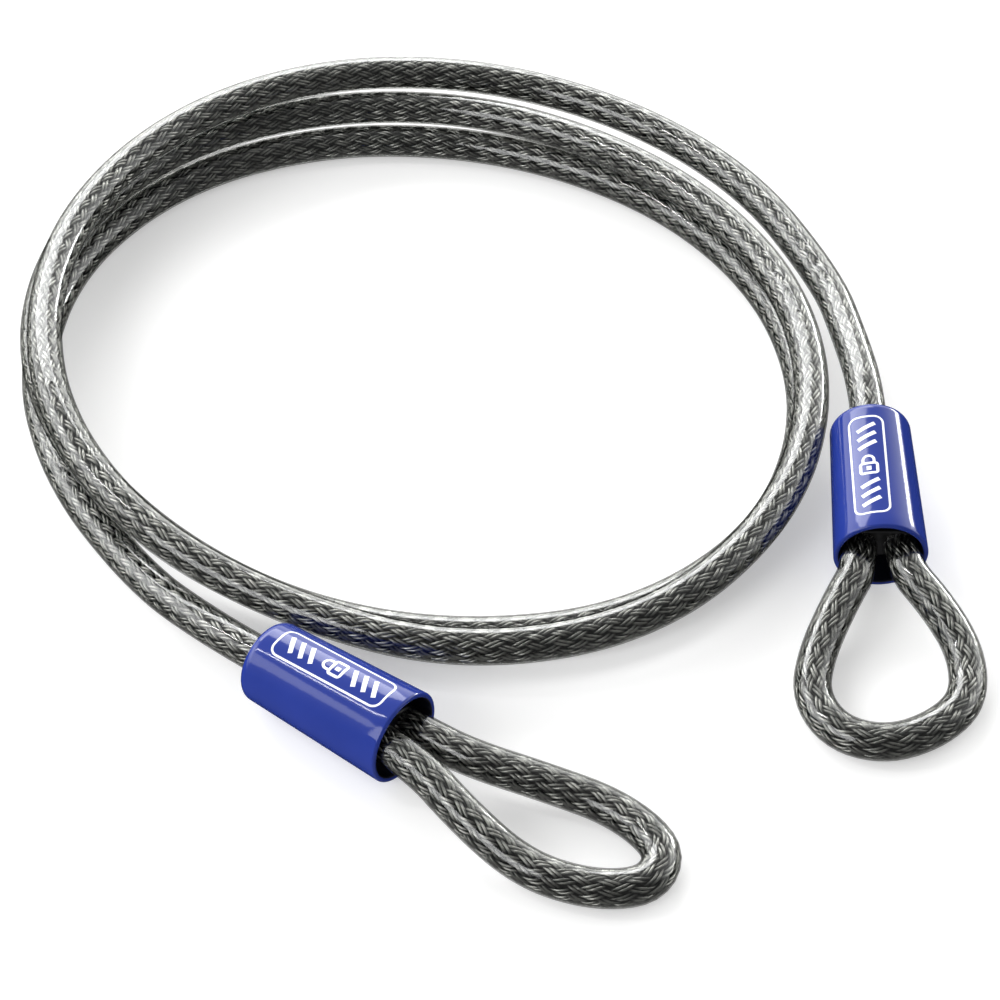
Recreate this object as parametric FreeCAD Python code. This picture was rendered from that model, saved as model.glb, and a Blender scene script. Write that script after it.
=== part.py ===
"""Double-loop security cable for locking a bicycle, lying coiled on the floor.

A braided steel cable in a clear jacket is bent back on itself at both ends, and each
eye is closed by a crimped ferrule under a cup-shaped cover.  Millimetres, +Z up.  The
origin is on the floor, in the middle of the coiled cable's bounding box.
"""
import FreeCAD, Part
import math
import os

from FreeCAD import Vector

# Cable section.
JACKET_D = 10.0
JACKET_WALL = 1.05
BRAID_WALL = 1.3
LAYER_GAP = 0.25           # radial clearance between core, braid and jacket
LAY_GAP = 0.3              # between two strands of the coil that lie on each other

# Cover: a cone-sided cup with its closed end towards the coil.  Its radii and its length
# follow from the ferrule inside it and from these.
COVER_OVERHANG = 4.115     # the mouth stands this far beyond the ferrule
COVER_NECK_WALL = 1.95     # of the closed end, round the cup's narrow part
COVER_RIM_WALL = 1.6
COVER_FLARE = 0.55         # the inside widens by this from the seat to the mouth
COVER_SHOULDER = 3.0
COVER_END_WALL = 1.5
RIM_ROUND = 0.5
HOLE_CLEARANCE = 0.5
FLOOR_GAP = 0.2

# Ferrule: two bores in a stadium-shaped block, crimped on the bare steel.
FERRULE_LENGTH = 13.0
FERRULE_WALL = 1.3
FERRULE_EDGE = 0.8
BORE_CLEARANCE = 0.1
SEAT_GAP = 0.4             # between the ferrule and the cup that seats on it
SEAT_STEP = 0.9            # width of the cup's inner step behind the ferrule

# Where things lie along a cover's axis, from its closed end.
STRIP_AT = 3.0             # the main jacket stops here, and the bare steel starts to bend
BEND_RUN = 13.0            # length of the slanted run from the hole's line to the leg's
LEG_TURN_AT = 7.0          # the legs leave the straight this far beyond the ferrule
LOOP_STRIP = 1.0           # the eye's jackets start this far beyond the ferrule

# Coil: stations every 24 degrees round its centre, anticlockwise from above, starting
# at cover B.  Each is (radius, layer), where layer 0 lies on the floor, 1 on one strand.
COIL_CENTRE = (-16.1, 35.4)
STATION_STEP = 24.0
STATION_START = 12.0
TURN_1 = [
    (120.5, 0.98), (120.0, 0.98), (120.0, 1.06), (119.0, 1.44), (116.8, 1.88),
    (114.6, 2.06), (112.0, 2.06), (109.2, 2.06), (109.5, 2.03), (110.4, 1.64),
    (109.9, 0.97), (118.3, 0.66), (125.0, 0.85), (121.3, 1.02), (114.6, 1.03),
]
TURN_2 = [
    (108.7, 1.03), (103.5, 1.04), (102.5, 1.02), (108.0, 0.90), (113.5, 0.86),
    (118.0, 0.95), (117.8, 1.02), (113.5, 1.02), (107.8, 1.01), (103.5, 0.64),
    (102.5, 0.08), (107.0, 0.0), (115.0, 0.0), (117.3, 0.0), (113.5, 0.0),
]
TURN_3 = [
    (108.0, 0.0), (103.5, 0.0), (101.0, 0.0), (102.5, 0.0), (108.0, 0.0),
    (114.0, 0.0), (116.0, 0.0), (114.0, 0.0), (110.8, 0.0), (112.5, 0.0),
]

# Covers: centre of the closed end measured from the coil's centre, which way the mouth
# points from above, how far it points up, and the roll of the two legs about the axis.
COVER_A_AT = (-39.2, -118.1)
COVER_A_HEADING = -37.0
COVER_A_PITCH = 1.8        # lies on its cone side
COVER_A_ROLL = -20.0
COVER_B_AT = (124.8, -36.8)
COVER_B_HEADING = -91.0
COVER_B_PITCH = -3.5       # stands on its rim, the cable holds its closed end up
COVER_B_ROLL = 0.0
RUN_BEHIND_A = 20.0        # straight cable behind each cover
RUN_BEHIND_B = 15.0
COIL_LEAD_B = (122.4, 0.9, 0.99)   # where the coil bends in from cover B: x, y, layer

# Eyes, from the standing leg round to the tail, measured from the coil's centre.  Each
# point is (x, y, height of the strand's underside over the floor).
EYE_A = [
    (15.0, -150.4, 5.0), (34.0, -155.8, 2.0), (51.0, -162.0, 0.0), (62.0, -173.2, 0.0),
    (61.8, -181.4, 0.0), (56.0, -187.0, 0.0), (42.5, -187.0, 0.0), (27.5, -181.5, 1.2),
    (14.0, -170.6, 6.0),
]
EYE_B = [
    (137.2, -98.5, 6.0), (144.3, -111.5, 1.5), (143.8, -126.5, 0.0), (134.5, -136.5, 0.0),
    (121.0, -142.0, 0.0), (108.3, -138.0, 0.0), (102.3, -125.5, 0.0), (105.3, -111.5, 1.5),
    (113.0, -96.0, 6.0),
]
TAIL_TURN_EXTRA_A = 2.5    # eye A's tail runs straight a little further than its other leg

# Worked out from the above.
JACKET_R = JACKET_D / 2
BRAID_R = JACKET_R - JACKET_WALL - LAYER_GAP
CORE_R = BRAID_R - BRAID_WALL - LAYER_GAP
LEG_OFFSET = JACKET_R + LAY_GAP / 2
BORE_R = BRAID_R + BORE_CLEARANCE
FERRULE_R = BRAID_R + FERRULE_WALL
ARC_SHARE = 0.45           # of the shorter run, that an arc takes up on each side
BEND_REACH = ARC_SHARE * math.hypot(BEND_RUN, LEG_OFFSET)
BEND_START = STRIP_AT + 0.5 + BEND_REACH
BEND_END = BEND_START + BEND_RUN
FERRULE_START = BEND_END + BEND_REACH + 0.3
FERRULE_END = FERRULE_START + FERRULE_LENGTH
LEG_TURN = FERRULE_END + LEG_TURN_AT
EYE_JACKET = FERRULE_END + LOOP_STRIP
SEAT_AT = FERRULE_START - SEAT_GAP
POCKET_R = LEG_OFFSET + FERRULE_R + SEAT_GAP
NECK_R = POCKET_R - SEAT_GAP - SEAT_STEP
RIM_INNER_R = POCKET_R + COVER_FLARE
HOLE_R = JACKET_R + HOLE_CLEARANCE
COVER_R_CLOSED = NECK_R + COVER_NECK_WALL
COVER_R_MOUTH = RIM_INNER_R + COVER_RIM_WALL
COVER_LENGTH = FERRULE_END + COVER_OVERHANG


def above_floor(layer):
    """Height of a strand's centre line in the given layer of the coil."""
    return JACKET_R + layer * (JACKET_D + LAY_GAP)


def from_coil(x, y, z):
    """A point measured from the coil's centre, in the part's frame."""
    return Vector(COIL_CENTRE[0] + x, COIL_CENTRE[1] + y, z)


class Cover:
    """Place of one cover, which touches the floor with its closed end, its rim or both."""

    def __init__(self, at, heading, pitch, roll):
        turn = math.radians(heading)
        lean = math.radians(pitch)
        spin = math.radians(roll)
        level = Vector(math.cos(turn), math.sin(turn), 0)
        left = Vector(-math.sin(turn), math.cos(turn), 0)
        self.axis = level * math.cos(lean) + Vector(0, 0, math.sin(lean))
        self.side = left * math.cos(spin) + self.axis.cross(left) * math.sin(spin)
        self.up = self.axis.cross(self.side)
        radius = max(COVER_R_CLOSED, COVER_R_MOUTH - COVER_LENGTH * math.tan(lean))
        self.closed = from_coil(at[0], at[1], radius * math.cos(lean) + FLOOR_GAP)

    def point(self, along, aside):
        """Point at a distance along the axis from the closed end, and beside it."""
        return self.closed + self.axis * along + self.side * aside

    def placement(self):
        """Moves a shape built along +Z, with the two legs along +Y, onto the axis."""
        turn = FreeCAD.Rotation(self.up.negative(), self.side, self.axis, "ZXY")
        return FreeCAD.Placement(self.closed, turn)


cover_place_a = Cover(COVER_A_AT, COVER_A_HEADING, COVER_A_PITCH, COVER_A_ROLL)
cover_place_b = Cover(COVER_B_AT, COVER_B_HEADING, COVER_B_PITCH, COVER_B_ROLL)


def coil_points():
    """The coil's points from cover B round to cover A."""
    points = [from_coil(COIL_LEAD_B[0], COIL_LEAD_B[1], above_floor(COIL_LEAD_B[2]))]
    for k, (radius, layer) in enumerate(TURN_1 + TURN_2 + TURN_3):
        angle = math.radians(STATION_START + k * STATION_STEP)
        x = radius * math.cos(angle)
        y = radius * math.sin(angle)
        points.append(from_coil(x, y, above_floor(layer)))
    return points


def eye_points(cover, eye, tail_extra):
    """An eye's points: its standing leg's turn, the round, and its tail's turn."""
    points = [cover.point(LEG_TURN, LEG_OFFSET)]
    for x, y, lift in eye:
        points.append(from_coil(x, y, JACKET_R + lift))
    points.append(cover.point(LEG_TURN + tail_extra, -LEG_OFFSET))
    return points


def neck_points(cover):
    """The two turns inside a cover, from the hole's line to the standing leg's."""
    return [cover.point(BEND_START, 0), cover.point(BEND_END, LEG_OFFSET)]


def cable_points():
    """The whole cable's points, from tail A to tail B."""
    tail_a = cover_place_a.point(FERRULE_START + 1, -LEG_OFFSET)
    tail_b = cover_place_b.point(FERRULE_START + 1, -LEG_OFFSET)
    eye_a = eye_points(cover_place_a, EYE_A, TAIL_TURN_EXTRA_A)
    neck_a = neck_points(cover_place_a)
    eye_b = eye_points(cover_place_b, EYE_B, 0.0)
    neck_b = neck_points(cover_place_b)
    behind_a = cover_place_a.point(-RUN_BEHIND_A, 0)
    behind_b = cover_place_b.point(-RUN_BEHIND_B, 0)
    coil = coil_points()
    coil.reverse()
    eye_a.reverse()
    neck_a.reverse()
    return ([tail_a] + eye_a + neck_a + [behind_a] + coil
            + [behind_b] + neck_b + eye_b + [tail_b])


def tangent_arcs(points):
    """For each inner point, its arc's start, middle, end and radius."""
    arcs = []
    for before, here, after in zip(points, points[1:], points[2:]):
        back = before - here
        ahead = after - here
        reach = ARC_SHARE * min(back.Length, ahead.Length)
        turn = math.pi - back.getAngle(ahead)
        radius = reach / math.tan(turn / 2)
        back.normalize()
        ahead.normalize()
        inward = (back + ahead).normalize()
        depth = radius / math.cos(turn / 2) - radius
        arcs.append((here + back * reach, here + inward * depth, here + ahead * reach, radius))
    return arcs


def path(start, arcs, end):
    """A wire of straight runs joined by the given tangent arcs."""
    edges = []
    at = start
    for first, middle, last, _ in arcs:
        edges.append(Part.LineSegment(at, first).toShape())
        edges.append(Part.Arc(first, middle, last).toShape())
        at = last
    edges.append(Part.LineSegment(at, end).toShape())
    return Part.Wire(edges)


def circle_at_start(wire, radius):
    """A circle square to the start of a wire."""
    first = wire.Edges[0]
    start = first.valueAt(first.FirstParameter)
    along = first.tangentAt(first.FirstParameter)
    return Part.Wire(Part.Circle(start, along, radius).toShape())


def tube(wire, outer_r, inner_r=0.0):
    """A tube or, with no inner radius, a rod along a wire."""
    section = Part.Face(circle_at_start(wire, outer_r))
    if inner_r > 0:
        section = section.cut(Part.Face(circle_at_start(wire, inner_r)))
    solid = wire.makePipe(section)
    expected = math.pi * (outer_r ** 2 - inner_r ** 2) * wire.Length
    print("  volume over section times length: %.4f" % (solid.Volume / expected))
    return solid


def make_cover(place):
    """Cone-sided cup: round shoulder, stepped inside, with the cable's hole in its end."""
    flat_r = COVER_R_CLOSED - COVER_SHOULDER
    slant = COVER_SHOULDER * (1 - math.sqrt(0.5))
    shoulder = Part.Arc(Vector(flat_r, 0, 0),
                        Vector(COVER_R_CLOSED - slant, 0, slant),
                        Vector(COVER_R_CLOSED, 0, COVER_SHOULDER))
    rim_mid = COVER_R_MOUTH - RIM_ROUND * (1 - math.sqrt(0.5))
    rim = Part.Arc(Vector(COVER_R_MOUTH, 0, COVER_LENGTH - RIM_ROUND),
                   Vector(rim_mid, 0, COVER_LENGTH - RIM_ROUND * (1 - math.sqrt(0.5))),
                   Vector(COVER_R_MOUTH - RIM_ROUND, 0, COVER_LENGTH))
    corners = [
        Vector(COVER_R_MOUTH - RIM_ROUND, 0, COVER_LENGTH),
        Vector(RIM_INNER_R, 0, COVER_LENGTH),
        Vector(POCKET_R, 0, SEAT_AT),
        Vector(NECK_R, 0, SEAT_AT),
        Vector(NECK_R, 0, COVER_END_WALL),
        Vector(HOLE_R, 0, COVER_END_WALL),
        Vector(HOLE_R, 0, 0),
        Vector(flat_r, 0, 0),
    ]
    edges = [Part.LineSegment(a, b).toShape() for a, b in zip(corners, corners[1:])]
    edges.append(shoulder.toShape())
    edges.append(Part.LineSegment(Vector(COVER_R_CLOSED, 0, COVER_SHOULDER),
                                  Vector(COVER_R_MOUTH, 0, COVER_LENGTH - RIM_ROUND)).toShape())
    edges.append(rim.toShape())
    profile = Part.Face(Part.Wire(Part.__sortEdges__(edges)))
    cup = profile.revolve(Vector(0, 0, 0), Vector(0, 0, 1), 360)
    cup.Placement = place.placement()
    return cup


def make_ferrule(place):
    """Stadium-shaped block with two bores, its ends rounded over."""
    r = FERRULE_R
    w = LEG_OFFSET
    outline = Part.Wire([
        Part.LineSegment(Vector(r, -w, 0), Vector(r, w, 0)).toShape(),
        Part.Arc(Vector(r, w, 0), Vector(0, w + r, 0), Vector(-r, w, 0)).toShape(),
        Part.LineSegment(Vector(-r, w, 0), Vector(-r, -w, 0)).toShape(),
        Part.Arc(Vector(-r, -w, 0), Vector(0, -w - r, 0), Vector(r, -w, 0)).toShape(),
    ])
    block = Part.Face(outline).extrude(Vector(0, 0, FERRULE_LENGTH))
    rims = [e for e in block.Edges if abs(e.BoundBox.ZLength) < 0.01]
    block = block.makeFillet(FERRULE_EDGE, rims)
    for y in (-w, w):
        block = block.cut(Part.makeCylinder(BORE_R, FERRULE_LENGTH, Vector(0, y, 0)))
    block.translate(Vector(0, 0, FERRULE_START))
    block.Placement = place.placement().multiply(block.Placement)
    return block


def write(name, shape):
    """Write one node as a single closed solid."""
    solid = shape.Solids[0]
    if len(shape.Solids) != 1 or not solid.isValid():
        raise ValueError(name + " isn't one valid solid")
    solid.exportStep("parts/%s.step" % name)
    box = solid.optimalBoundingBox(False)
    print("%-14s volume %9.1f  x %7.2f %7.2f  y %7.2f %7.2f  z %6.2f %6.2f" % (
        name, solid.Volume, box.XMin, box.XMax, box.YMin, box.YMax, box.ZMin, box.ZMax))
    return box


os.makedirs("parts", exist_ok=True)

points = cable_points()
arcs = tangent_arcs(points)
eye_a_turns = len(EYE_A) + 2
eye_b_turns = len(EYE_B) + 2
neck_turns = 2
coil_arcs = arcs[eye_a_turns + neck_turns:len(arcs) - eye_b_turns - neck_turns]
steel = path(points[0], arcs, points[-1])
coil = path(cover_place_a.point(STRIP_AT, 0), coil_arcs, cover_place_b.point(STRIP_AT, 0))
eye_a = path(cover_place_a.point(EYE_JACKET, -LEG_OFFSET), arcs[:eye_a_turns],
             cover_place_a.point(EYE_JACKET, LEG_OFFSET))
eye_b = path(cover_place_b.point(EYE_JACKET, LEG_OFFSET), arcs[-eye_b_turns:],
             cover_place_b.point(EYE_JACKET, -LEG_OFFSET))
print("arc radii:", " ".join("%.0f" % arc[3] for arc in arcs))
print("steel %.1f long, coil's jacket %.1f, eyes' jackets %.1f and %.1f" % (
    steel.Length, coil.Length, eye_a.Length, eye_b.Length))

jacket_inner = JACKET_R - JACKET_WALL
boxes = [
    write("coil_jacket", tube(coil, JACKET_R, jacket_inner)),
    write("eye_a_jacket", tube(eye_a, JACKET_R, jacket_inner)),
    write("eye_b_jacket", tube(eye_b, JACKET_R, jacket_inner)),
    write("steel_braid", tube(steel, BRAID_R, BRAID_R - BRAID_WALL)),
    write("fibre_core", tube(steel, CORE_R)),
    write("ferrule_a", make_ferrule(cover_place_a)),
    write("ferrule_b", make_ferrule(cover_place_b)),
    write("cover_a", make_cover(cover_place_a)),
    write("cover_b", make_cover(cover_place_b)),
]
whole = boxes[0]
for box in boxes[1:]:
    whole.add(box)
print("whole: x %.2f %.2f  y %.2f %.2f  z %.2f %.2f" % (
    whole.XMin, whole.XMax, whole.YMin, whole.YMax, whole.ZMin, whole.ZMax))
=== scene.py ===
"""Looks of a double-loop bicycle security cable, lying coiled on a pale floor.

The cable is braided steel wire in a clear smoke-tinted jacket, bent back on itself into an
eye at each end, and a glossy blue cup covers the crimp of each eye.  Everything is in
metres, in the part's own frame: +Z up, the origin on the floor in the coil's middle.
"""
import math

import bpy
import numpy as np
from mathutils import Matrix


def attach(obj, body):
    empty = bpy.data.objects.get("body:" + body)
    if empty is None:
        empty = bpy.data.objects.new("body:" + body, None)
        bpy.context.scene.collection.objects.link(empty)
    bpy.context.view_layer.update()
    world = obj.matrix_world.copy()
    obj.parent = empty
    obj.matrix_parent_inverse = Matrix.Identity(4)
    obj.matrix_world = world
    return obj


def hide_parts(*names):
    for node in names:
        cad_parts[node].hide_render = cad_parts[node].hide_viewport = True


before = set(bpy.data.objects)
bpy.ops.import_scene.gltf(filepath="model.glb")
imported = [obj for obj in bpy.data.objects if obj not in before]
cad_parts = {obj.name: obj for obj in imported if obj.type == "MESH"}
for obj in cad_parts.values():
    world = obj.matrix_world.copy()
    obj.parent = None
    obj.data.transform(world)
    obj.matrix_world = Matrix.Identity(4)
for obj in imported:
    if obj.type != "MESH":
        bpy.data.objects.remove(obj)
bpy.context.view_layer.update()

MM = 0.001

# ---------------------------------------------------------------- the cable's route
JACKET_R = 5.0
LAY_GAP = 0.3
COIL_CENTRE = (-16.1, 35.4)
STATION_STEP = 24.0
STATION_START = 12.0
# Radius and layer at each station of the coil, from cover B inwards to cover A.
TURN_1 = [
    (120.5, 0.98), (120.0, 0.98), (120.0, 1.06), (119.0, 1.44), (116.8, 1.88),
    (114.6, 2.06), (112.0, 2.06), (109.2, 2.06), (109.5, 2.03), (110.4, 1.64),
    (109.9, 0.97), (118.3, 0.66), (125.0, 0.85), (121.3, 1.02), (114.6, 1.03),
]
TURN_2 = [
    (108.7, 1.03), (103.5, 1.04), (102.5, 1.02), (108.0, 0.90), (113.5, 0.86),
    (118.0, 0.95), (117.8, 1.02), (113.5, 1.02), (107.8, 1.01), (103.5, 0.64),
    (102.5, 0.08), (107.0, 0.0), (115.0, 0.0), (117.3, 0.0), (113.5, 0.0),
]
TURN_3 = [
    (108.0, 0.0), (103.5, 0.0), (101.0, 0.0), (102.5, 0.0), (108.0, 0.0),
    (114.0, 0.0), (116.0, 0.0), (114.0, 0.0), (110.8, 0.0), (112.5, 0.0),
]
COIL_LEAD_B = (122.4, 0.9, 0.99)
# Each eye from its standing leg round to its tail: x, y, height of the underside.
EYE_A = [
    (15.0, -150.4, 5.0), (34.0, -155.8, 2.0), (51.0, -162.0, 0.0), (62.0, -173.2, 0.0),
    (61.8, -181.4, 0.0), (56.0, -187.0, 0.0), (42.5, -187.0, 0.0), (27.5, -181.5, 1.2),
    (14.0, -170.6, 6.0),
]
EYE_B = [
    (137.2, -98.5, 6.0), (144.3, -111.5, 1.5), (143.8, -126.5, 0.0), (134.5, -136.5, 0.0),
    (121.0, -142.0, 0.0), (108.3, -138.0, 0.0), (102.3, -125.5, 0.0), (105.3, -111.5, 1.5),
    (113.0, -96.0, 6.0),
]
LEG_OFFSET = 5.15
LEG_TURN = 49.385
TAIL_TURN_EXTRA_A = 2.5
NECK_START = 9.792
NECK_END = 22.792
TAIL_AT = 30.385
RUN_BEHIND_A = 20.0
RUN_BEHIND_B = 15.0
ROUTE_STEPS = 48
FRAME_REACH = 0.4          # the direction at a place is taken over this far each way

# ---------------------------------------------------------------- the covers
COVER_LENGTH = 46.5
COVER_R_CLOSED = 11.2
COVER_R_MOUTH = 12.7
COVER_SHOULDER = 3.0
COVER_WALL = 1.6
FLOOR_GAP = 0.2


def unit(v):
    """Each vector of an array over its own length."""
    return v / np.linalg.norm(v, axis=-1, keepdims=True)


def from_coil(x, y, z):
    """A point measured from the coil's centre, in the part's frame, in millimetres."""
    return np.array([COIL_CENTRE[0] + x, COIL_CENTRE[1] + y, z])


class Cover:
    """Place of a cover: its closed end's centre, axis, and the side where a leg lies."""

    def __init__(self, name, at, heading, pitch, roll):
        turn, lean, spin = (math.radians(a) for a in (heading, pitch, roll))
        level = np.array([math.cos(turn), math.sin(turn), 0.0])
        self.name = name
        self.left = np.array([-math.sin(turn), math.cos(turn), 0.0])
        self.axis = level * math.cos(lean) + np.array([0.0, 0.0, math.sin(lean)])
        self.above = np.cross(self.axis, self.left)
        self.side = self.left * math.cos(spin) + self.above * math.sin(spin)
        radius = max(COVER_R_CLOSED, COVER_R_MOUTH - COVER_LENGTH * math.tan(lean))
        self.closed = from_coil(at[0], at[1], radius * math.cos(lean) + FLOOR_GAP)

    def point(self, along, aside=0.0):
        """Point at a distance along the axis from the closed end, and beside it."""
        return self.closed + self.axis * along + self.side * aside

    def along(self, points):
        """How far points lie along the axis from the closed end."""
        return (points - self.closed) @ self.axis


cover_a = Cover("a", (-39.2, -118.1), -37.0, 1.8, -20.0)
cover_b = Cover("b", (124.8, -36.8), -91.0, -3.5, 0.0)


def eye_points(cover, eye, tail_extra):
    """An eye's points, from its standing leg's turn round to its tail's."""
    points = [cover.point(LEG_TURN, LEG_OFFSET)]
    points += [from_coil(x, y, JACKET_R + lift) for x, y, lift in eye]
    return points + [cover.point(LEG_TURN + tail_extra, -LEG_OFFSET)]


def neck_points(cover):
    """The two turns inside a cover, from the hole's line to the standing leg's."""
    return [cover.point(NECK_START), cover.point(NECK_END, LEG_OFFSET)]


def coil_points():
    """The coil's points from cover B to cover A, a station at a time."""
    def height(layer):
        return JACKET_R + layer * (2 * JACKET_R + LAY_GAP)
    points = [from_coil(COIL_LEAD_B[0], COIL_LEAD_B[1], height(COIL_LEAD_B[2]))]
    for k, (radius, layer) in enumerate(TURN_1 + TURN_2 + TURN_3):
        angle = math.radians(STATION_START + k * STATION_STEP)
        points.append(from_coil(radius * math.cos(angle), radius * math.sin(angle),
                                height(layer)))
    return points


def route_points():
    """The whole cable's points in metres, from tail A to tail B."""
    a_side = ([cover_a.point(TAIL_AT, -LEG_OFFSET)]
              + eye_points(cover_a, EYE_A, TAIL_TURN_EXTRA_A)[::-1]
              + neck_points(cover_a)[::-1] + [cover_a.point(-RUN_BEHIND_A)])
    b_side = ([cover_b.point(-RUN_BEHIND_B)] + neck_points(cover_b)
              + eye_points(cover_b, EYE_B, 0.0) + [cover_b.point(TAIL_AT, -LEG_OFFSET)])
    return np.array(a_side + coil_points()[::-1] + b_side) * MM


def nurbs_line(points):
    """Points on the NURBS spline that has the route's points as its control points."""
    curve = bpy.data.curves.new("route", "CURVE")
    curve.dimensions = "3D"
    curve.resolution_u = ROUTE_STEPS
    spline = curve.splines.new("NURBS")
    spline.points.add(len(points) - 1)
    spline.points.foreach_set("co", np.c_[points, np.ones(len(points))].ravel())
    spline.order_u = 3
    spline.use_endpoint_u = True
    holder = bpy.data.objects.new("route", curve)
    line = bpy.data.meshes.new_from_object(holder)
    co = np.zeros(len(line.vertices) * 3)
    line.vertices.foreach_get("co", co)
    bpy.data.objects.remove(holder)
    bpy.data.curves.remove(curve)
    bpy.data.meshes.remove(line)
    return co.reshape(-1, 3)


class Line:
    """A smooth line with, at any distance along it, a point and two directions across.

    aside is level and square to the line, over is square to both and points upwards; the
    cable never stands on end, so the pair turns smoothly along it.
    """

    def __init__(self, points):
        self.points = points
        step = np.linalg.norm(np.diff(points, axis=0), axis=1)
        self.at = np.r_[0.0, np.cumsum(step)]
        self.length = self.at[-1]

    def point(self, s):
        """Points at the distances s."""
        return np.stack([np.interp(s, self.at, self.points[:, i]) for i in range(3)], -1)

    def frames(self, s):
        """Points, directions aside and directions over at the distances s."""
        reach = FRAME_REACH * MM
        ahead = unit(self.point(np.minimum(s + reach, self.length))
                     - self.point(np.maximum(s - reach, 0.0)))
        aside = unit(np.cross(np.array([0.0, 0.0, 1.0]), ahead))
        return self.point(s), aside, np.cross(ahead, aside)


# ---------------------------------------------------------------- meshes
def grid_faces(rows, columns, first=0):
    """Quads of a grid whose columns close on themselves, facing outwards."""
    i, j = np.meshgrid(np.arange(rows - 1), np.arange(columns), indexing="ij")
    k = (j + 1) % columns
    corners = [i * columns + j, i * columns + k,
               (i + 1) * columns + k, (i + 1) * columns + j]
    return first + np.stack(corners, -1).reshape(-1, 4)


def ring_faces(a, b):
    """Quads between two closed rings of vertex numbers."""
    return np.stack([a, np.roll(a, -1), np.roll(b, -1), b], -1)


def disc_faces(ring):
    """Quads across a ring with an even number of vertices, which close it."""
    k = np.arange(len(ring) // 2 - 1)
    return np.stack([ring[k], ring[k + 1], ring[-2 - k], ring[-1 - k]], -1)


def piece_of(name, points, faces, body, slot, material, smooth=True, uv=None):
    """A piece from an array of points and an array of quads, riding on a body."""
    mesh = bpy.data.meshes.new(name)
    mesh.vertices.add(len(points))
    mesh.vertices.foreach_set("co", np.asarray(points, np.float32).ravel())
    mesh.loops.add(faces.size)
    mesh.loops.foreach_set("vertex_index", faces.astype(np.int32).ravel())
    mesh.polygons.add(len(faces))
    mesh.polygons.foreach_set("loop_start", np.arange(0, faces.size, 4, dtype=np.int32))
    mesh.polygons.foreach_set("use_smooth", np.full(len(faces), smooth))
    mesh.update(calc_edges=True)
    if uv is not None:
        layer = mesh.uv_layers.new(name="UVMap")
        layer.data.foreach_set("uv", uv[faces.ravel()].astype(np.float32).ravel())
    mesh.materials.append(material)
    piece = bpy.data.objects.new(name, mesh)
    bpy.context.scene.collection.objects.link(piece)
    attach(piece, body)
    return piece


# ---------------------------------------------------------------- shader graphs
class Value:
    """A shader value; + - and * on it add the Math nodes."""

    def __init__(self, graph, socket):
        self.graph = graph
        self.socket = socket

    def __add__(self, other):
        return self.graph.maths("ADD", self, other)

    def __rsub__(self, other):
        return self.graph.maths("SUBTRACT", other, self)

    def __mul__(self, other):
        return self.graph.maths("MULTIPLY", self, other)

    __radd__ = __add__
    __rmul__ = __mul__


class Graph:
    """The node tree of a new material or world."""

    def __init__(self, name, kind="materials"):
        self.owner = getattr(bpy.data, kind).new(name)
        self.owner.use_nodes = True
        self.tree = self.owner.node_tree
        self.tree.nodes.clear()

    def node(self, kind, settings=None, inputs=None, out=0):
        """Adds a node: its settings first, then its sockets' values or links."""
        made = self.tree.nodes.new(kind)
        for key, value in (settings or {}).items():
            setattr(made, key, value)
        for key, value in (inputs or {}).items():
            if isinstance(value, Value):
                self.tree.links.new(value.socket, made.inputs[key])
            else:
                made.inputs[key].default_value = value
        return Value(self, made.outputs[out])

    def maths(self, operation, a, b):
        """A Math node of two values."""
        return self.node("ShaderNodeMath", {"operation": operation}, {0: a, 1: b})

    def place(self):
        """The point on the piece, in metres."""
        return self.node("ShaderNodeTexCoord", out="Object")

    def part_of(self, vector, axis):
        """One coordinate, "X", "Y" or "Z", of a vector."""
        split = self.node("ShaderNodeSeparateXYZ", None, {0: vector})
        return Value(self, split.socket.node.outputs[axis])

    def map_share(self, axis):
        """One coordinate of the piece's own map."""
        return self.part_of(self.node("ShaderNodeUVMap", {"uv_map": "UVMap"}), axis)

    def noise(self, scale, detail=3.0):
        """Noise from 0 to 1 that changes over about 1 / scale metres."""
        return self.node("ShaderNodeTexNoise", None, {
            "Vector": self.place(), "Scale": scale, "Detail": detail})

    def stretch(self, low, high, value):
        """The value's range from low to high, spread over 0 to 1 with soft ends."""
        return self.node("ShaderNodeMapRange", {"interpolation_type": "SMOOTHSTEP"}, {
            "Value": value, "From Min": low, "From Max": high})

    def colours(self, share, first, second):
        """A colour between two, by share."""
        return self.node("ShaderNodeMix", {"data_type": "RGBA"}, {
            0: share, 6: (*first, 1.0) if isinstance(first, tuple) else first,
            7: (*second, 1.0) if isinstance(second, tuple) else second}, out=2)

    def bump(self, height, depth):
        """A normal that follows a height, whose 1 stands for the depth."""
        return self.node("ShaderNodeBump", None, {
            "Height": height, "Distance": depth, "Strength": 1.0})

    def surface(self, shader, kind="ShaderNodeOutputMaterial"):
        """Ends the tree with a shader, and hands back what it belongs to."""
        end = self.tree.nodes.new(kind)
        self.tree.links.new(shader.socket, end.inputs["Surface"])
        return self.owner


def wire_steel():
    """Drawn wire, bright where it lies on top, with painted shade: its colour is painted
    darker the deeper it dips, to near black, for the shade under the crossing strands and
    the smoke-tinted vinyl filled in over it.  The map's second coordinate is its height."""
    g = Graph("bright_wire")
    film = g.stretch(0.38, 0.70, g.noise(260.0, 3.0))
    height = g.map_share("Y")
    top = g.colours(film, (0.82, 0.82, 0.80), (0.30, 0.303, 0.295))
    return g.surface(g.node("ShaderNodeBsdfPrincipled", None, {
        # Painted shade: the colour goes to near black where the wire dips under the
        # crossing strands.
        "Base Color": g.colours(g.stretch(0.22, 1.0, height), (0.010, 0.012, 0.011), top),
        "Metallic": 1.0,
        "Roughness": 0.28 + film * 0.14,
    }))


def core_fibre():
    """Dark laid fibre under the wires."""
    g = Graph("core_fibre")
    return g.surface(g.node("ShaderNodeBsdfPrincipled", None, {
        "Base Color": g.colours(g.noise(1500.0), (0.012, 0.013, 0.013),
                                (0.04, 0.04, 0.038)),
        "Roughness": 0.9,
    }))


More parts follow.
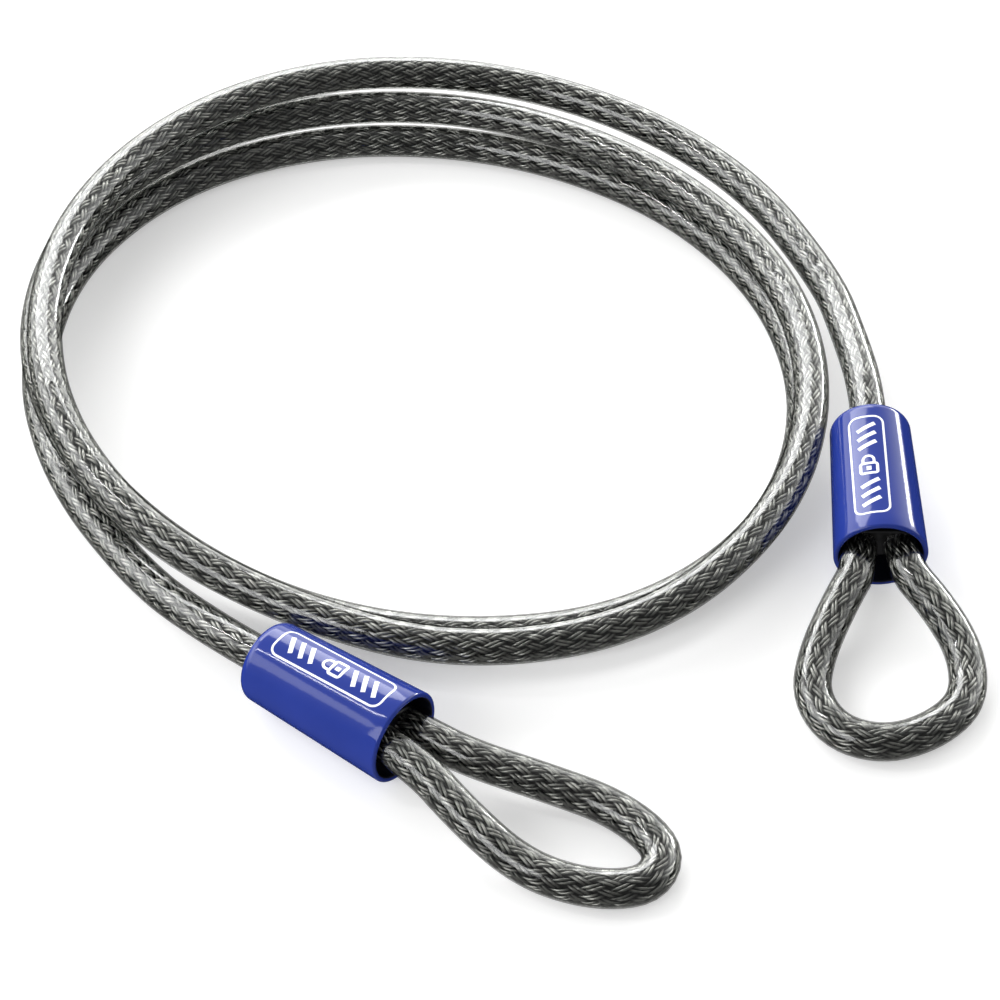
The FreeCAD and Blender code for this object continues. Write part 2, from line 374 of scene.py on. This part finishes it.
def clear_vinyl():
    """Clear smoke-tinted vinyl: see-through where faced, and glossy on its faces' outer
    sides, a little more than a bare Fresnel share."""
    g = Graph("clear_vinyl")
    haze = g.noise(60.0, 3.0)
    bend = g.bump(g.noise(230.0, 1.0), 0.09 * MM)
    behind = g.node("ShaderNodeNewGeometry", out="Backfacing")
    fresnel = g.node("ShaderNodeFresnel", None, {"IOR": 1.5, "Normal": bend})
    gloss = fresnel * (1.0 - behind) * 1.5
    sheen = g.node("ShaderNodeBsdfGlossy", None, {
        "Color": (0.97, 0.98, 0.98, 1.0), "Roughness": 0.07 + haze * 0.06, "Normal": bend})
    clear = g.node("ShaderNodeBsdfTransparent", None, {"Color": (0.78, 0.782, 0.772, 1.0)})
    return g.surface(g.node("ShaderNodeMixShader", None, {0: gloss, 1: clear, 2: sheen}))


def cover_vinyl():
    """Glossy blue vinyl with a faint orange peel and a few dull handling marks, and
    unpolished inside the cup, where the map's second coordinate is 1; there its colour is
    painted near black, as painted shade for the cup's dark inside."""
    g = Graph("blue_vinyl")
    cloud = g.noise(70.0, 3.0)
    marks = g.stretch(0.62, 0.8, g.noise(260.0, 5.0))
    inside = g.map_share("Y")
    return g.surface(g.node("ShaderNodeBsdfPrincipled", None, {
        # Painted shade: the colour is near black inside the cup.
        "Base Color": g.colours(inside, g.colours(cloud, (0.013, 0.029, 0.200),
                                                  (0.019, 0.038, 0.250)),
                                (0.003, 0.004, 0.014)),
        "Roughness": 0.09 + marks * 0.12 + inside * 0.4,
        "Specular IOR Level": 0.38,
        "Normal": g.bump(g.noise(700.0, 2.0), 0.01 * MM),
    }))


def print_ink():
    """White ink, a little thin and mottled where it sits on the vinyl."""
    g = Graph("white_ink")
    thin = g.stretch(0.5, 0.85, g.noise(800.0, 3.0))
    return g.surface(g.node("ShaderNodeBsdfPrincipled", None, {
        "Base Color": g.colours(thin, (0.86, 0.88, 0.92), (0.66, 0.69, 0.80)),
        "Roughness": 0.30 + thin * 0.2,
    }))


def ferrule_metal():
    """Crimped aluminium, satin, with tool marks."""
    g = Graph("crimped_aluminium")
    marks = g.noise(500.0, 4.0)
    return g.surface(g.node("ShaderNodeBsdfPrincipled", None, {
        "Base Color": g.colours(marks, (0.07, 0.07, 0.072), (0.03, 0.03, 0.032)),
        "Metallic": 1.0,
        "Roughness": 0.32 + marks * 0.2,
        "Normal": g.bump(marks, 0.05 * MM),
    }))


STEEL = wire_steel()
FIBRE = core_fibre()
VINYL = clear_vinyl()
BLUE = cover_vinyl()
INK = print_ink()
ALUMINIUM = ferrule_metal()


# ---------------------------------------------------------------- the cable
SHELL_WALL = 0.3
JACKET_SIDES = 36
BRAID_LAY = 70.0           # length of one turn of a strand round the cable
BRAID_CARRIERS = 10        # strands that run each way
BRAID_MIDDLE_R = 3.86
BRAID_WAVE = 0.42          # how far a strand rises over and dips under the others
BRAID_STRAY = 0.03         # how far round the cable a strand strays from even spacing
STRAY_SLOW = 5.3
STRAY_QUICK = 2.9
WIRES = 2                  # side by side in a strand
WIRE_R = 0.37
WIRE_GAP = 0.80            # between two wires' centres
WIRE_SIDES = 6
BRAID_STEP = BRAID_LAY / 60
CORE_R = 3.05
CORE_SIDES = 16
CORE_STEP = 3.0
JACKET_STEP = 2.2


def tube_piece(name, line, start, end, outer, inner, spacing, sides, *finish):
    """A tube: point = line(s) + r (cos a aside + sin a over), for the outer radius, then
    back for the inner radius, with a flat ring or disc closing each end."""
    rows = max(2, int(round((end - start) / (spacing * MM))) + 1)
    s = np.linspace(start, end, rows)
    at, aside, over = line.frames(s)
    angle = np.arange(sides) * 2 * math.pi / sides
    around = (np.cos(angle)[None, :, None] * aside[:, None]
              + np.sin(angle)[None, :, None] * over[:, None])
    wall = at[:, None] + around * (outer * MM)
    points = [wall.reshape(-1, 3)]
    faces = [grid_faces(rows, sides)]
    count = rows * sides
    ends = np.arange(sides), count - sides + np.arange(sides)
    if inner:
        points.append((at[:, None] + around * (inner * MM)).reshape(-1, 3))
        faces.append(grid_faces(rows, sides, count)[:, ::-1])
        faces.append(ring_faces(ends[0], ends[0] + count)[:, ::-1])
        faces.append(ring_faces(ends[1], ends[1] + count))
    else:
        faces.append(disc_faces(ends[0])[:, ::-1])
        faces.append(disc_faces(ends[1]))
    return piece_of(name, np.concatenate(points), np.concatenate(faces), *finish)


def strand_piece(name, line, way, carrier, *finish):
    """One strand of the braid: WIRES round wires side by side on a helix.

    A wire's centre line is line(s) + r (cos t aside + sin t over).  Its angle t grows by a
    full turn each lay, one way or the other, and strays from that by a slow sine and a
    quick one, at paces that differ from strand to strand, and
    r = middle + wave (cos p - 0.12 cos 3p), where p passes a full turn in two crossings, so
    that a strand goes over one strand of the other way and under the next.  A ring square
    to that line gives the wire its thickness, and a flat disc closes each end.
    """
    s = np.arange(0.0, line.length / MM, BRAID_STEP)
    at, aside, over = line.frames(s * MM)
    slant = math.atan(2 * math.pi * BRAID_MIDDLE_R / BRAID_LAY)
    share = 2 * math.pi / BRAID_CARRIERS
    beside = (np.arange(WIRES) - (WIRES - 1) / 2) * WIRE_GAP
    shift = (beside / (BRAID_MIDDLE_R * math.cos(slant)))[:, None]
    slow = s / (STRAY_SLOW + 0.37 * carrier) + carrier * 1.9
    quick = s / (STRAY_QUICK + 0.21 * carrier) + way + carrier
    stray = BRAID_STRAY * (np.sin(slow) + 0.6 * np.sin(quick))
    turn = way * 2 * math.pi * s / BRAID_LAY + carrier * share + shift + stray
    crossing = 2 * BRAID_CARRIERS * s / BRAID_LAY + way * (shift + stray) / share
    phase = (crossing + (0 if way > 0 else 1)) * math.pi
    radius = BRAID_MIDDLE_R + BRAID_WAVE * (np.cos(phase) - 0.12 * np.cos(3 * phase))
    outwards = np.cos(turn)[..., None] * aside + np.sin(turn)[..., None] * over
    centre = at + radius[..., None] * outwards * MM
    ahead = unit(np.gradient(centre, axis=1))
    across = unit(np.cross(ahead, outwards))
    rise = np.cross(across, ahead)
    angle = np.arange(WIRE_SIDES) * 2 * math.pi / WIRE_SIDES
    ring = (np.cos(angle)[:, None] * across[:, :, None]
            + np.sin(angle)[:, None] * rise[:, :, None])
    points = (centre[:, :, None] + ring * (WIRE_R * MM)).reshape(-1, 3)
    # The wire's height in its wave, which the steel material uses to paint shade where it
    # dips.
    height = np.repeat((np.cos(phase) + 1) / 2, WIRE_SIDES, axis=1).reshape(-1)
    along = np.tile(np.repeat(s / s[-1], WIRE_SIDES), WIRES)
    first = np.arange(WIRE_SIDES)
    last = first + (len(s) - 1) * WIRE_SIDES
    wire_faces = np.concatenate([grid_faces(len(s), WIRE_SIDES)[:, ::-1],
                                 disc_faces(first), disc_faces(last)[:, ::-1]])
    faces = np.concatenate([wire_faces + wire * len(s) * WIRE_SIDES
                            for wire in range(WIRES)])
    return piece_of(name, points, faces, *finish, uv=np.stack([along, height], -1))


line = Line(nurbs_line(route_points()))
FINE_STEP = 0.25
fine = line.point(np.arange(0.0, line.length, FINE_STEP * MM)) / MM
STRIP_AT = 3.0             # where the long jacket stops, from a cover's closed end
EYE_JACKET = 43.385        # where an eye's jacket starts
TAIL_HALF = 80.0           # from a tail to halfway round its eye, at least
MIDWAY = 1000.0            # a place in the coil, between the two covers
REACH = 14.0


def where(cover, along, start, end):
    """Distance along the cable, between two distances in millimetres, where it passes a
    station of a cover."""
    s = np.arange(len(fine)) * FINE_STEP
    near = np.linalg.norm(fine - cover.point(along), axis=1) < REACH
    off = np.abs(cover.along(fine) - along)
    return s[np.argmin(np.where(near & (s > start) & (s < end), off, np.inf))] * MM


total = line.length / MM
coil_start = where(cover_a, STRIP_AT, TAIL_HALF, MIDWAY)
coil_end = where(cover_b, STRIP_AT, MIDWAY, total - TAIL_HALF)
eye_a_span = (where(cover_a, EYE_JACKET, -1.0, TAIL_HALF),
              where(cover_a, EYE_JACKET, TAIL_HALF, MIDWAY))
eye_b_span = (where(cover_b, EYE_JACKET, MIDWAY, total - TAIL_HALF),
              where(cover_b, EYE_JACKET, total - TAIL_HALF, total + 1.0))


def make_jacket(name, start, end):
    """A stretch of the clear jacket, in place of the CAD part that it covers, which is
    hidden.
    """
    jacket = tube_piece(name + "_clear", line, start, end, JACKET_R, JACKET_R - SHELL_WALL,
                        JACKET_STEP, JACKET_SIDES, "cable", "jacket", VINYL)
    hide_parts(name)


make_jacket("coil_jacket", coil_start, coil_end)
make_jacket("eye_a_jacket", *eye_a_span)
make_jacket("eye_b_jacket", *eye_b_span)
for way, side in ((1, "right"), (-1, "left")):
    for carrier in range(BRAID_CARRIERS):
        strand = strand_piece("braid_%s_lay_%d" % (side, carrier + 1), line, way, carrier,
                              "cable", "steel_wire", STEEL)
        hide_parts("steel_braid")
core = tube_piece("fibre_core_laid", line, 0.0, line.length, CORE_R, 0.0, CORE_STEP,
                  CORE_SIDES, "cable", "fibre", FIBRE)
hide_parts("fibre_core")


# ---------------------------------------------------------------- the covers
COVER_SIDES = 160
END_WALL = 1.5
HOLE_R = 5.5
POCKET_R = 10.55
NECK_R = 9.25
SEAT = 28.985
LIP_ROUND = 0.7
# Points of the outline inside the cup, which are rougher and painted near black as shade.
DULL_SHADED_POINTS = 10           # of the outline, from the lip's inner edge to the hole
PRINT_FROM = 6.2
PRINT_TO = 41.5
PRINT_WIDTH = 9.6
PRINT_STROKE = 0.6
PRINT_LIFT = 0.035
PRINT_STEP = 0.4
FRAME_BEND = 2.4
# The badge's padlock and bars: along the axis from the badge's middle, and half widths.
BODY_FROM = -0.2
BODY_TO = 3.4
BODY_HALF = 2.3
BODY_BEND = 0.6
BODY_STROKE = 0.8
KEYHOLE_FROM = 0.9
KEYHOLE_TO = 2.3
KEYHOLE_STROKE = 1.3
SHACKLE_MIDDLE = -1.4
SHACKLE_FOOT = -0.3
SHACKLE_R = 1.5
SHACKLE_STROKE = 0.75
BARS = 3
BAR_FIRST = 7.0
BAR_PITCH = 3.3
BAR_SLANT = 1.3
BAR_HALF = 2.5
BAR_STROKE = 1.25
# Where each badge sits round its cover, in degrees from the cover's left.
BADGE_TURN_A = 88.0
BADGE_TURN_B = 104.0


def arc_profile(radius, along, bend, first, last, steps):
    """Points of an arc in the cup's profile: centre, bend radius, first and last angle."""
    angle = np.radians(np.linspace(first, last, steps))
    return np.c_[radius + bend * np.cos(angle), along + bend * np.sin(angle)]


def cover_profile():
    """The cup's closed outline as (radius, distance along): round shoulder, cone side,
    round lip, flared inside, step, neck and hole."""
    shoulder = arc_profile(COVER_R_CLOSED - COVER_SHOULDER, COVER_SHOULDER, COVER_SHOULDER,
                           -90, 0, 14)
    lip_at = COVER_LENGTH - LIP_ROUND
    outer_lip = arc_profile(COVER_R_MOUTH - LIP_ROUND, lip_at, LIP_ROUND, 0, 90, 8)
    inner_lip = arc_profile(COVER_R_MOUTH - COVER_WALL + LIP_ROUND, lip_at, LIP_ROUND,
                            90, 180, 8)
    side = np.linspace(0.0, 1.0, 12)[1:-1, None]
    cone = shoulder[-1] * (1 - side) + outer_lip[0] * side
    inside = np.array([[POCKET_R, SEAT], [NECK_R, SEAT], [NECK_R, END_WALL],
                       [HOLE_R, END_WALL], [HOLE_R, 0.0]])
    return np.concatenate([shoulder, cone, outer_lip, inner_lip, inside])


def cover_side(along):
    """Radius of a cover's cone side."""
    share = (along - COVER_SHOULDER) / (COVER_LENGTH - LIP_ROUND - COVER_SHOULDER)
    return COVER_R_CLOSED + (COVER_R_MOUTH - COVER_R_CLOSED) * share


def make_cover(cover):
    """The cup: point = closed end + axis h + r (cos a left + sin a above) round the
    profile (r, h)."""
    profile = cover_profile()
    angle = np.arange(COVER_SIDES) * 2 * math.pi / COVER_SIDES
    around = np.cos(angle)[:, None] * cover.left + np.sin(angle)[:, None] * cover.above
    points = (cover.closed + profile[:, None, 1:] * cover.axis
              + profile[:, None, :1] * around[None])
    rows = len(profile)
    faces = grid_faces(rows, COVER_SIDES)
    last = (rows - 1) * COVER_SIDES + np.arange(COVER_SIDES)
    faces = np.concatenate([faces, ring_faces(last, np.arange(COVER_SIDES))])
    # The inside points get the rougher finish and the painted shade.
    inside = np.arange(rows) >= rows - DULL_SHADED_POINTS
    share = np.broadcast_to(angle / (2 * math.pi), (rows, COVER_SIDES))
    uv = np.stack([share, np.broadcast_to(inside[:, None], share.shape)], -1).reshape(-1, 2)
    name = "cover_" + cover.name
    cup = piece_of(name + "_cup", points.reshape(-1, 3) * MM, faces, name, "cover", BLUE,
                   uv=uv)
    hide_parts(name)


def on_cover(cover, centre_angle, flat, lift):
    """Flat points (along the axis, round the side) laid on a cover's cone side."""
    radius = cover_side(flat[..., 0])
    angle = centre_angle + flat[..., 1] / radius
    out = np.cos(angle)[..., None] * cover.left + np.sin(angle)[..., None] * cover.above
    return cover.closed + flat[..., :1] * cover.axis + (radius + lift)[..., None] * out


def rounded_box(x0, x1, y0, y1, bend, steps=8):
    """A flat rectangle's outline with round corners."""
    corners = [(x1 - bend, y1 - bend, 0), (x0 + bend, y1 - bend, 90),
               (x0 + bend, y0 + bend, 180), (x1 - bend, y0 + bend, 270)]
    return np.concatenate([arc_profile(x, y, bend, turn, turn + 90, steps)
                           for x, y, turn in corners])


def even(loop, spacing, closed=True):
    """Points at even spacing along a flat line."""
    path = np.concatenate([loop, loop[:1]]) if closed else loop
    at = np.r_[0.0, np.cumsum(np.linalg.norm(np.diff(path, axis=0), axis=1))]
    count = max(2, int(round(at[-1] / spacing)))
    s = np.linspace(0.0, at[-1], count + (0 if closed else 1), endpoint=not closed)
    return np.c_[np.interp(s, at, path[:, 0]), np.interp(s, at, path[:, 1])]


def band_solid(cover, angle, loop, width, closed):
    """A printed band along a flat line: the points and faces of a thin closed solid, whose
    edges are line + across (width / 2) and line - across (width / 2), laid on the cover at
    no lift and at PRINT_LIFT."""
    path = even(loop, PRINT_STEP, closed)
    if closed:
        ahead = unit(np.roll(path, -1, 0) - np.roll(path, 1, 0))
    else:
        ahead = unit(np.gradient(path, axis=0))
    across = np.c_[-ahead[:, 1], ahead[:, 0]] * width / 2
    one, two = path - across, path + across
    stack = [on_cover(cover, angle, edge, lift) for edge, lift in
             ((one, 0.0), (one, PRINT_LIFT), (two, PRINT_LIFT), (two, 0.0))]
    first = np.arange(4)
    last = first + (len(path) - 1) * 4
    ends = ring_faces(last, first) if closed else np.array([first[::-1], last])
    faces = np.concatenate([grid_faces(len(path), 4), ends])
    return np.stack(stack, 1).reshape(-1, 3), faces


def make_print(cover, centre_angle):
    """The printed badge: a rounded frame with a padlock and slanted bars on both sides."""
    middle = (PRINT_FROM + PRINT_TO) / 2
    half = PRINT_WIDTH / 2
    foot = middle + SHACKLE_FOOT
    arch = arc_profile(middle + SHACKLE_MIDDLE, 0.0, SHACKLE_R, 90, 270, 14)
    bands = [
        (rounded_box(PRINT_FROM, PRINT_TO, -half, half, FRAME_BEND), PRINT_STROKE, True),
        (rounded_box(middle + BODY_FROM, middle + BODY_TO, -BODY_HALF, BODY_HALF,
                     BODY_BEND), BODY_STROKE, True),
        (np.array([[middle + KEYHOLE_FROM, 0.0], [middle + KEYHOLE_TO, 0.0]]),
         KEYHOLE_STROKE, False),
        (np.concatenate([[[foot, SHACKLE_R]], arch, [[foot, -SHACKLE_R]]]),
         SHACKLE_STROKE, False),
    ]
    for side in (-1, 1):
        for n in range(BARS):
            x = middle + side * (BAR_FIRST + n * BAR_PITCH)
            bands.append((np.array([[x - BAR_SLANT, -BAR_HALF], [x + BAR_SLANT, BAR_HALF]]),
                          BAR_STROKE, False))
    points = []
    faces = []
    first = 0
    for loop, width, closed in bands:
        p, f = band_solid(cover, math.radians(centre_angle), loop, width, closed)
        points.append(p)
        faces.append(f + first)
        first += len(p)
    name = "cover_" + cover.name
    piece_of(name + "_badge", np.concatenate(points) * MM, np.concatenate(faces),
             name, "cover", INK, smooth=False)


for cover, turned in ((cover_a, BADGE_TURN_A), (cover_b, BADGE_TURN_B)):
    make_cover(cover)
    make_print(cover, turned)
for name in ("ferrule_a", "ferrule_b"):
    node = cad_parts[name]
    node.data.materials.clear()
    node.data.materials.append(ALUMINIUM)


# ---------------------------------------------------------------- stage, light, camera
FLOOR_HALF = 20.0
# Each light: name, place, width, height and watts; all face the origin.
SOFTBOXES = [
    ("back_box", (-0.6, 1.7, 1.25), 1.9, 0.9, 34.0),
    ("right_strip", (1.25, 1.25, 0.26), 0.7, 0.24, 10.0),
    ("left_box", (-1.7, 0.2, 1.0), 1.6, 0.9, 13.0),
    ("left_strip", (-1.5, 0.2, 1.9), 0.06, 0.9, 6.0),
    ("front_box", (-1.3, -1.2, 1.2), 1.3, 1.1, 20.0),
]
CAMERA_LENS = 103.5
CAMERA_SENSOR = 36.0
CAMERA_TILT = 44.0
CAMERA_FROM_COIL = (0.022, -0.6072, 0.577)     # from the coil's centre, in metres


def make_floor():
    """A plain white sweep, wide enough for every view; gloss doesn't mirror it."""
    g = Graph("white_floor")
    soft = g.colours(g.noise(3.0, 1.0), (0.72, 0.72, 0.72), (0.74, 0.74, 0.74))
    material = g.surface(g.node("ShaderNodeBsdfPrincipled", None, {
        "Base Color": soft, "Roughness": 0.9, "Specular IOR Level": 0.0,
        "Emission Color": (1.0, 1.0, 1.0, 1.0), "Emission Strength": 0.4}))
    corners = [(x * FLOOR_HALF, y * FLOOR_HALF, 0)
               for x, y in ((-1, -1), (1, -1), (1, 1), (-1, 1))]
    mesh = bpy.data.meshes.new("floor")
    mesh.from_pydata(corners, [], [(0, 1, 2, 3)])
    mesh.materials.append(material)
    floor = bpy.data.objects.new("floor", mesh)
    bpy.context.scene.collection.objects.link(floor)
    floor.visible_glossy = False


def softbox(name, at, width, height, power):
    """A rectangular area light at a point, facing the origin."""
    light = bpy.data.lights.new(name, "AREA")
    light.shape = "RECTANGLE"
    light.size = width
    light.size_y = height
    light.energy = power
    lamp = bpy.data.objects.new(name, light)
    back = unit(np.array(at, float))
    across = unit(np.cross(np.array([0.0, 0.0, 1.0]), back))
    lift = np.cross(back, across)
    matrix = np.eye(4)
    matrix[:3, 0] = across
    matrix[:3, 1] = lift
    matrix[:3, 2] = back
    matrix[:3, 3] = at
    lamp.matrix_world = matrix.T.tolist()
    bpy.context.scene.collection.objects.link(lamp)


def make_world():
    """A bright sky behind and overhead, dark towards the camera and below the horizon."""
    g = Graph("studio", "worlds")
    way = g.node("ShaderNodeTexCoord", out="Generated")
    ahead = g.stretch(-0.45, 0.35, g.part_of(way, "Y"))
    above = g.stretch(-0.02, 0.05, g.part_of(way, "Z"))
    high = g.stretch(0.25, 0.85, g.part_of(way, "Z"))
    strength = (above * (0.19 + ahead * (2.6 - high * 2.2))
                + (1.0 - above) * (0.22 - ahead * 0.20))
    sky = g.node("ShaderNodeBackground", None, {
        "Color": (1.0, 1.0, 0.99, 1.0), "Strength": strength})
    bpy.context.scene.world = g.surface(sky, "ShaderNodeOutputWorld")


def make_camera():
    """A long lens looking down at 46 degrees from the eyes' side."""
    camera = bpy.data.cameras.new("camera")
    camera.lens = CAMERA_LENS
    camera.sensor_width = CAMERA_SENSOR
    holder = bpy.data.objects.new("camera", camera)
    holder.location = (COIL_CENTRE[0] * MM + CAMERA_FROM_COIL[0],
                       COIL_CENTRE[1] * MM + CAMERA_FROM_COIL[1], CAMERA_FROM_COIL[2])
    holder.rotation_euler = (math.radians(CAMERA_TILT), 0.0, 0.0)
    bpy.context.scene.collection.objects.link(holder)
    bpy.context.scene.camera = holder


make_floor()
make_world()
for box in SOFTBOXES:
    softbox(*box)
make_camera()
bpy.context.scene.view_settings.view_transform = "Standard"
